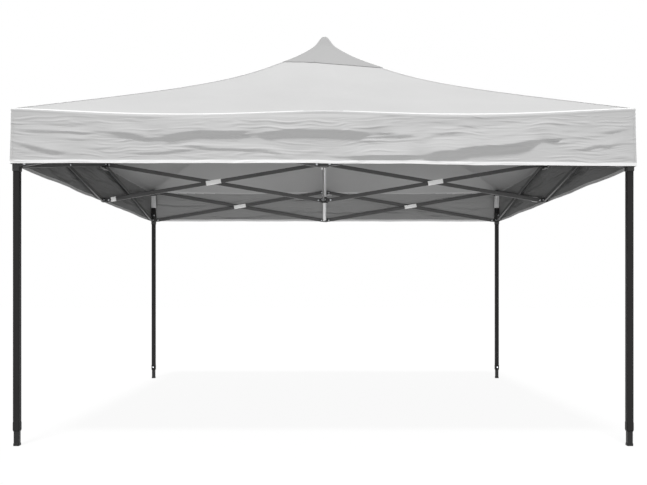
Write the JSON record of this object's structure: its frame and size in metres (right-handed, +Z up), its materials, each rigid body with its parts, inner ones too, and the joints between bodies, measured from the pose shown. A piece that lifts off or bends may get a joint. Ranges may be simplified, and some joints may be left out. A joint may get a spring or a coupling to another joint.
{
  "type": "pop up canopy",
  "caption": "Square pop up canopy: a folding scissor frame on telescopic legs under a peaked fabric roof with a hanging valance.",
  "frame": {"origin": "on the ground at the centre of the square of legs", "axes": "+Z up along the mast, +X to the right seen from the front, +Y to the back"},
  "size_m": [2.972, 2.972, 2.412],
  "materials": {
    "cover_fabric": "matte",
    "outer_leg_steel": "satin",
    "inner_leg_steel": "satin",
    "truss_steel": "satin",
    "mast_steel": "satin",
    "lock_steel": "satin",
    "black_plastic": "matte"
  },
  "bodies": {
    "hub": {"hub_upper": "black_plastic", "canopy_cover": "cover_fabric"},
    "hub_lower": {"hub_lower": "black_plastic"},
    "mast": {"mast": "mast_steel"},
    "cross_bar_front_fall": {"cross_bar_front_fall": "truss_steel"},
    "cross_bar_front_rise": {"cross_bar_front_rise": "truss_steel"},
    "mid_lower_front": {"mid_lower_front": "black_plastic"},
    "mid_upper_front": {"mid_upper_front": "black_plastic"},
    "front_bar_right_rise": {"front_bar_right_rise": "truss_steel"},
    "front_bar_right_fall": {"front_bar_right_fall": "truss_steel"},
    "leg_front_right": {"outer_leg_front_right": "outer_leg_steel", "top_bracket_front_right": "black_plastic"},
    "slider_front_right": {"slider_front_right": "black_plastic"},
    "inner_leg_front_right": {"inner_leg_front_right": "inner_leg_steel"},
    "leg_button_front_right": {"leg_button_front_right": "lock_steel"},
    "slider_pin_front_right": {"slider_pin_front_right": "lock_steel"},
    "front_bar_left_rise": {"front_bar_left_rise": "truss_steel"},
    "front_bar_left_fall": {"front_bar_left_fall": "truss_steel"},
    "cross_bar_right_fall": {"cross_bar_right_fall": "truss_steel"},
    "cross_bar_right_rise": {"cross_bar_right_rise": "truss_steel"},
    "mid_lower_right": {"mid_lower_right": "black_plastic"},
    "mid_upper_right": {"mid_upper_right": "black_plastic"},
    "right_bar_back_rise": {"right_bar_back_rise": "truss_steel"},
    "right_bar_back_fall": {"right_bar_back_fall": "truss_steel"},
    "leg_back_right": {"outer_leg_back_right": "outer_leg_steel", "top_bracket_back_right": "black_plastic"},
    "slider_back_right": {"slider_back_right": "black_plastic"},
    "inner_leg_back_right": {"inner_leg_back_right": "inner_leg_steel"},
    "leg_button_back_right": {"leg_button_back_right": "lock_steel"},
    "slider_pin_back_right": {"slider_pin_back_right": "lock_steel"},
    "right_bar_front_rise": {"right_bar_front_rise": "truss_steel"},
    "right_bar_front_fall": {"right_bar_front_fall": "truss_steel"},
    "cross_bar_back_fall": {"cross_bar_back_fall": "truss_steel"},
    "cross_bar_back_rise": {"cross_bar_back_rise": "truss_steel"},
    "mid_lower_back": {"mid_lower_back": "black_plastic"},
    "mid_upper_back": {"mid_upper_back": "black_plastic"},
    "back_bar_left_rise": {"back_bar_left_rise": "truss_steel"},
    "back_bar_left_fall": {"back_bar_left_fall": "truss_steel"},
    "leg_back_left": {"outer_leg_back_left": "outer_leg_steel", "top_bracket_back_left": "black_plastic"},
    "slider_back_left": {"slider_back_left": "black_plastic"},
    "inner_leg_back_left": {"inner_leg_back_left": "inner_leg_steel"},
    "leg_button_back_left": {"leg_button_back_left": "lock_steel"},
    "slider_pin_back_left": {"slider_pin_back_left": "lock_steel"},
    "back_bar_right_rise": {"back_bar_right_rise": "truss_steel"},
    "back_bar_right_fall": {"back_bar_right_fall": "truss_steel"},
    "cross_bar_left_fall": {"cross_bar_left_fall": "truss_steel"},
    "cross_bar_left_rise": {"cross_bar_left_rise": "truss_steel"},
    "mid_lower_left": {"mid_lower_left": "black_plastic"},
    "mid_upper_left": {"mid_upper_left": "black_plastic"},
    "left_bar_front_rise": {"left_bar_front_rise": "truss_steel"},
    "left_bar_front_fall": {"left_bar_front_fall": "truss_steel"},
    "leg_front_left": {"outer_leg_front_left": "outer_leg_steel", "top_bracket_front_left": "black_plastic"},
    "slider_front_left": {"slider_front_left": "black_plastic"},
    "inner_leg_front_left": {"inner_leg_front_left": "inner_leg_steel"},
    "leg_button_front_left": {"leg_button_front_left": "lock_steel"},
    "slider_pin_front_left": {"slider_pin_front_left": "lock_steel"},
    "left_bar_back_rise": {"left_bar_back_rise": "truss_steel"},
    "left_bar_back_fall": {"left_bar_back_fall": "truss_steel"}
  },
  "joints": [
    {"name": "fold", "type": "hinge", "parent": "hub", "child": "cross_bar_front_fall", "pos_m": [0.0064, -0.04, 1.572], "axis": [1, 0, 0], "range_deg": [0, 78]},
    {"name": "mid_lower_front_pivot", "type": "hinge", "parent": "cross_bar_front_fall", "child": "mid_lower_front", "pos_m": [0.0064, -1.425, 1.338], "axis": [-1, 0, 0], "range_deg": [0, 78]},
    {"name": "cross_bar_front_rise_pivot", "type": "hinge", "parent": "cross_bar_front_fall", "child": "cross_bar_front_rise", "pos_m": [0, -0.7325, 1.455], "axis": [-1, 0, 0], "range_deg": [0, 156]},
    {"name": "mid_upper_front_pivot", "type": "hinge", "parent": "cross_bar_front_rise", "child": "mid_upper_front", "pos_m": [-0.0064, -1.425, 1.572], "axis": [1, 0, 0], "range_deg": [0, 78]},
    {"name": "hub_lower_pivot", "type": "hinge", "parent": "cross_bar_front_rise", "child": "hub_lower", "pos_m": [-0.0064, -0.04, 1.338], "axis": [1, 0, 0], "range_deg": [0, 78]},
    {"name": "front_bar_right_rise_pivot", "type": "hinge", "parent": "mid_lower_front", "child": "front_bar_right_rise", "pos_m": [0.03, -1.4614, 1.338], "axis": [0, -1, 0], "range_deg": [0, 78]},
    {"name": "front_bar_right_fall_pivot", "type": "hinge", "parent": "front_bar_right_rise", "child": "front_bar_right_fall", "pos_m": [0.7225, -1.455, 1.455], "axis": [0, 1, 0], "range_deg": [0, 156]},
    {"name": "leg_front_right_pivot", "type": "hinge", "parent": "front_bar_right_rise", "child": "leg_front_right", "pos_m": [1.415, -1.4614, 1.572], "axis": [0, 1, 0], "range_deg": [0, 78]},
    {"name": "slider_front_right_pivot", "type": "hinge", "parent": "front_bar_right_fall", "child": "slider_front_right", "pos_m": [1.415, -1.4486, 1.338], "axis": [0, -1, 0], "range_deg": [0, 78]},
    {"name": "front_bar_left_rise_pivot", "type": "hinge", "parent": "mid_lower_front", "child": "front_bar_left_rise", "pos_m": [-0.03, -1.4486, 1.338], "axis": [0, 1, 0], "range_deg": [0, 78]},
    {"name": "front_bar_left_fall_pivot", "type": "hinge", "parent": "front_bar_left_rise", "child": "front_bar_left_fall", "pos_m": [-0.7225, -1.455, 1.455], "axis": [0, -1, 0], "range_deg": [0, 156]},
    {"name": "fold_right", "type": "hinge", "parent": "hub", "child": "cross_bar_right_fall", "pos_m": [0.04, 0.0064, 1.572], "axis": [0, 1, 0], "range_deg": [0, 78]},
    {"name": "mid_lower_right_pivot", "type": "hinge", "parent": "cross_bar_right_fall", "child": "mid_lower_right", "pos_m": [1.425, 0.0064, 1.338], "axis": [0, -1, 0], "range_deg": [0, 78]},
    {"name": "cross_bar_right_rise_pivot", "type": "hinge", "parent": "cross_bar_right_fall", "child": "cross_bar_right_rise", "pos_m": [0.7325, 0, 1.455], "axis": [0, -1, 0], "range_deg": [0, 156]},
    {"name": "mid_upper_right_pivot", "type": "hinge", "parent": "cross_bar_right_rise", "child": "mid_upper_right", "pos_m": [1.425, -0.0064, 1.572], "axis": [0, 1, 0], "range_deg": [0, 78]},
    {"name": "right_bar_back_rise_pivot", "type": "hinge", "parent": "mid_lower_right", "child": "right_bar_back_rise", "pos_m": [1.4614, 0.03, 1.338], "axis": [1, 0, 0], "range_deg": [0, 78]},
    {"name": "right_bar_back_fall_pivot", "type": "hinge", "parent": "right_bar_back_rise", "child": "right_bar_back_fall", "pos_m": [1.455, 0.7225, 1.455], "axis": [-1, 0, 0], "range_deg": [0, 156]},
    {"name": "leg_back_right_pivot", "type": "hinge", "parent": "right_bar_back_rise", "child": "leg_back_right", "pos_m": [1.4614, 1.415, 1.572], "axis": [-1, 0, 0], "range_deg": [0, 78]},
    {"name": "slider_back_right_pivot", "type": "hinge", "parent": "right_bar_back_fall", "child": "slider_back_right", "pos_m": [1.4486, 1.415, 1.338], "axis": [1, 0, 0], "range_deg": [0, 78]},
    {"name": "right_bar_front_rise_pivot", "type": "hinge", "parent": "mid_lower_right", "child": "right_bar_front_rise", "pos_m": [1.4486, -0.03, 1.338], "axis": [-1, 0, 0], "range_deg": [0, 78]},
    {"name": "right_bar_front_fall_pivot", "type": "hinge", "parent": "right_bar_front_rise", "child": "right_bar_front_fall", "pos_m": [1.455, -0.7225, 1.455], "axis": [1, 0, 0], "range_deg": [0, 156]},
    {"name": "fold_back", "type": "hinge", "parent": "hub", "child": "cross_bar_back_fall", "pos_m": [-0.0064, 0.04, 1.572], "axis": [-1, 0, 0], "range_deg": [0, 78]},
    {"name": "mid_lower_back_pivot", "type": "hinge", "parent": "cross_bar_back_fall", "child": "mid_lower_back", "pos_m": [-0.0064, 1.425, 1.338], "axis": [1, 0, 0], "range_deg": [0, 78]},
    {"name": "cross_bar_back_rise_pivot", "type": "hinge", "parent": "cross_bar_back_fall", "child": "cross_bar_back_rise", "pos_m": [0, 0.7325, 1.455], "axis": [1, 0, 0], "range_deg": [0, 156]},
    {"name": "mid_upper_back_pivot", "type": "hinge", "parent": "cross_bar_back_rise", "child": "mid_upper_back", "pos_m": [0.0064, 1.425, 1.572], "axis": [-1, 0, 0], "range_deg": [0, 78]},
    {"name": "back_bar_left_rise_pivot", "type": "hinge", "parent": "mid_lower_back", "child": "back_bar_left_rise", "pos_m": [-0.03, 1.4614, 1.338], "axis": [0, 1, 0], "range_deg": [0, 78]},
    {"name": "back_bar_left_fall_pivot", "type": "hinge", "parent": "back_bar_left_rise", "child": "back_bar_left_fall", "pos_m": [-0.7225, 1.455, 1.455], "axis": [0, -1, 0], "range_deg": [0, 156]},
    {"name": "leg_back_left_pivot", "type": "hinge", "parent": "back_bar_left_rise", "child": "leg_back_left", "pos_m": [-1.415, 1.4614, 1.572], "axis": [0, -1, 0], "range_deg": [0, 78]},
    {"name": "slider_back_left_pivot", "type": "hinge", "parent": "back_bar_left_fall", "child": "slider_back_left", "pos_m": [-1.415, 1.4486, 1.338], "axis": [0, 1, 0], "range_deg": [0, 78]},
    {"name": "back_bar_right_rise_pivot", "type": "hinge", "parent": "mid_lower_back", "child": "back_bar_right_rise", "pos_m": [0.03, 1.4486, 1.338], "axis": [0, -1, 0], "range_deg": [0, 78]},
    {"name": "back_bar_right_fall_pivot", "type": "hinge", "parent": "back_bar_right_rise", "child": "back_bar_right_fall", "pos_m": [0.7225, 1.455, 1.455], "axis": [0, 1, 0], "range_deg": [0, 156]},
    {"name": "fold_left", "type": "hinge", "parent": "hub", "child": "cross_bar_left_fall", "pos_m": [-0.04, -0.0064, 1.572], "axis": [0, -1, 0], "range_deg": [0, 78]},
    {"name": "mid_lower_left_pivot", "type": "hinge", "parent": "cross_bar_left_fall", "child": "mid_lower_left", "pos_m": [-1.425, -0.0064, 1.338], "axis": [0, 1, 0], "range_deg": [0, 78]},
    {"name": "cross_bar_left_rise_pivot", "type": "hinge", "parent": "cross_bar_left_fall", "child": "cross_bar_left_rise", "pos_m": [-0.7325, 0, 1.455], "axis": [0, 1, 0], "range_deg": [0, 156]},
    {"name": "mid_upper_left_pivot", "type": "hinge", "parent": "cross_bar_left_rise", "child": "mid_upper_left", "pos_m": [-1.425, 0.0064, 1.572], "axis": [0, -1, 0], "range_deg": [0, 78]},
    {"name": "left_bar_front_rise_pivot", "type": "hinge", "parent": "mid_lower_left", "child": "left_bar_front_rise", "pos_m": [-1.4614, -0.03, 1.338], "axis": [-1, 0, 0], "range_deg": [0, 78]},
    {"name": "left_bar_front_fall_pivot", "type": "hinge", "parent": "left_bar_front_rise", "child": "left_bar_front_fall", "pos_m": [-1.455, -0.7225, 1.455], "axis": [1, 0, 0], "range_deg": [0, 156]},
    {"name": "leg_front_left_pivot", "type": "hinge", "parent": "left_bar_front_rise", "child": "leg_front_left", "pos_m": [-1.4614, -1.415, 1.572], "axis": [1, 0, 0], "range_deg": [0, 78]},
    {"name": "slider_front_left_pivot", "type": "hinge", "parent": "left_bar_front_fall", "child": "slider_front_left", "pos_m": [-1.4486, -1.415, 1.338], "axis": [-1, 0, 0], "range_deg": [0, 78]},
    {"name": "left_bar_back_rise_pivot", "type": "hinge", "parent": "mid_lower_left", "child": "left_bar_back_rise", "pos_m": [-1.4486, 0.03, 1.338], "axis": [1, 0, 0], "range_deg": [0, 78]},
    {"name": "left_bar_back_fall_pivot", "type": "hinge", "parent": "left_bar_back_rise", "child": "left_bar_back_fall", "pos_m": [-1.455, 0.7225, 1.455], "axis": [-1, 0, 0], "range_deg": [0, 156]},
    {"name": "leg_extend_front_right", "type": "slide", "parent": "leg_front_right", "child": "inner_leg_front_right", "axis": [0, 0, -1], "range_m": [0, 0.6]},
    {"name": "leg_button_front_right", "type": "slide", "parent": "leg_front_right", "child": "leg_button_front_right", "axis": [0, 1, 0], "range_m": [0, 0.006], "stiffness_N_per_m": 600, "springref_m": -0.004},
    {"name": "slider_pin_front_right", "type": "slide", "parent": "slider_front_right", "child": "slider_pin_front_right", "axis": [0, 1, 0], "range_m": [0, 0.007], "stiffness_N_per_m": 600, "springref_m": -0.004},
    {"name": "leg_extend_back_right", "type": "slide", "parent": "leg_back_right", "child": "inner_leg_back_right", "axis": [0, 0, -1], "range_m": [0, 0.6]},
    {"name": "leg_button_back_right", "type": "slide", "parent": "leg_back_right", "child": "leg_button_back_right", "axis": [0, -1, 0], "range_m": [0, 0.006], "stiffness_N_per_m": 600, "springref_m": -0.004},
    {"name": "slider_pin_back_right", "type": "slide", "parent": "slider_back_right", "child": "slider_pin_back_right", "axis": [0, -1, 0], "range_m": [0, 0.007], "stiffness_N_per_m": 600, "springref_m": -0.004},
    {"name": "leg_extend_back_left", "type": "slide", "parent": "leg_back_left", "child": "inner_leg_back_left", "axis": [0, 0, -1], "range_m": [0, 0.6]},
    {"name": "leg_button_back_left", "type": "slide", "parent": "leg_back_left", "child": "leg_button_back_left", "axis": [0, -1, 0], "range_m": [0, 0.006], "stiffness_N_per_m": 600, "springref_m": -0.004},
    {"name": "slider_pin_back_left", "type": "slide", "parent": "slider_back_left", "child": "slider_pin_back_left", "axis": [0, -1, 0], "range_m": [0, 0.007], "stiffness_N_per_m": 600, "springref_m": -0.004},
    {"name": "leg_extend_front_left", "type": "slide", "parent": "leg_front_left", "child": "inner_leg_front_left", "axis": [0, 0, -1], "range_m": [0, 0.6]},
    {"name": "leg_button_front_left", "type": "slide", "parent": "leg_front_left", "child": "leg_button_front_left", "axis": [0, 1, 0], "range_m": [0, 0.006], "stiffness_N_per_m": 600, "springref_m": -0.004},
    {"name": "slider_pin_front_left", "type": "slide", "parent": "slider_front_left", "child": "slider_pin_front_left", "axis": [0, 1, 0], "range_m": [0, 0.007], "stiffness_N_per_m": 600, "springref_m": -0.004},
    {"name": "mast_lift", "type": "slide", "parent": "hub", "child": "mast", "axis": [0, 0, -1], "range_m": [0, 0.78]}
  ],
  "couplings": [
    {"joint": "mid_lower_front_pivot", "follows": "fold", "ratio": 1},
    {"joint": "cross_bar_front_rise_pivot", "follows": "fold", "ratio": 2},
    {"joint": "mid_upper_front_pivot", "follows": "fold", "ratio": 1},
    {"joint": "hub_lower_pivot", "follows": "fold", "ratio": 1},
    {"joint": "front_bar_right_rise_pivot", "follows": "fold", "ratio": 1},
    {"joint": "front_bar_right_fall_pivot", "follows": "fold", "ratio": 2},
    {"joint": "leg_front_right_pivot", "follows": "fold", "ratio": 1},
    {"joint": "slider_front_right_pivot", "follows": "fold", "ratio": 1},
    {"joint": "front_bar_left_rise_pivot", "follows": "fold", "ratio": 1},
    {"joint": "front_bar_left_fall_pivot", "follows": "fold", "ratio": 2},
    {"joint": "fold_right", "follows": "fold", "ratio": 1},
    {"joint": "mid_lower_right_pivot", "follows": "fold", "ratio": 1},
    {"joint": "cross_bar_right_rise_pivot", "follows": "fold", "ratio": 2},
    {"joint": "mid_upper_right_pivot", "follows": "fold", "ratio": 1},
    {"joint": "right_bar_back_rise_pivot", "follows": "fold", "ratio": 1},
    {"joint": "right_bar_back_fall_pivot", "follows": "fold", "ratio": 2},
    {"joint": "leg_back_right_pivot", "follows": "fold", "ratio": 1},
    {"joint": "slider_back_right_pivot", "follows": "fold", "ratio": 1},
    {"joint": "right_bar_front_rise_pivot", "follows": "fold", "ratio": 1},
    {"joint": "right_bar_front_fall_pivot", "follows": "fold", "ratio": 2},
    {"joint": "fold_back", "follows": "fold", "ratio": 1},
    {"joint": "mid_lower_back_pivot", "follows": "fold", "ratio": 1},
    {"joint": "cross_bar_back_rise_pivot", "follows": "fold", "ratio": 2},
    {"joint": "mid_upper_back_pivot", "follows": "fold", "ratio": 1},
    {"joint": "back_bar_left_rise_pivot", "follows": "fold", "ratio": 1},
    {"joint": "back_bar_left_fall_pivot", "follows": "fold", "ratio": 2},
    {"joint": "leg_back_left_pivot", "follows": "fold", "ratio": 1},
    {"joint": "slider_back_left_pivot", "follows": "fold", "ratio": 1},
    {"joint": "back_bar_right_rise_pivot", "follows": "fold", "ratio": 1},
    {"joint": "back_bar_right_fall_pivot", "follows": "fold", "ratio": 2},
    {"joint": "fold_left", "follows": "fold", "ratio": 1},
    {"joint": "mid_lower_left_pivot", "follows": "fold", "ratio": 1},
    {"joint": "cross_bar_left_rise_pivot", "follows": "fold", "ratio": 2},
    {"joint": "mid_upper_left_pivot", "follows": "fold", "ratio": 1},
    {"joint": "left_bar_front_rise_pivot", "follows": "fold", "ratio": 1},
    {"joint": "left_bar_front_fall_pivot", "follows": "fold", "ratio": 2},
    {"joint": "leg_front_left_pivot", "follows": "fold", "ratio": 1},
    {"joint": "slider_front_left_pivot", "follows": "fold", "ratio": 1},
    {"joint": "left_bar_back_rise_pivot", "follows": "fold", "ratio": 1},
    {"joint": "left_bar_back_fall_pivot", "follows": "fold", "ratio": 2}
  ]
}
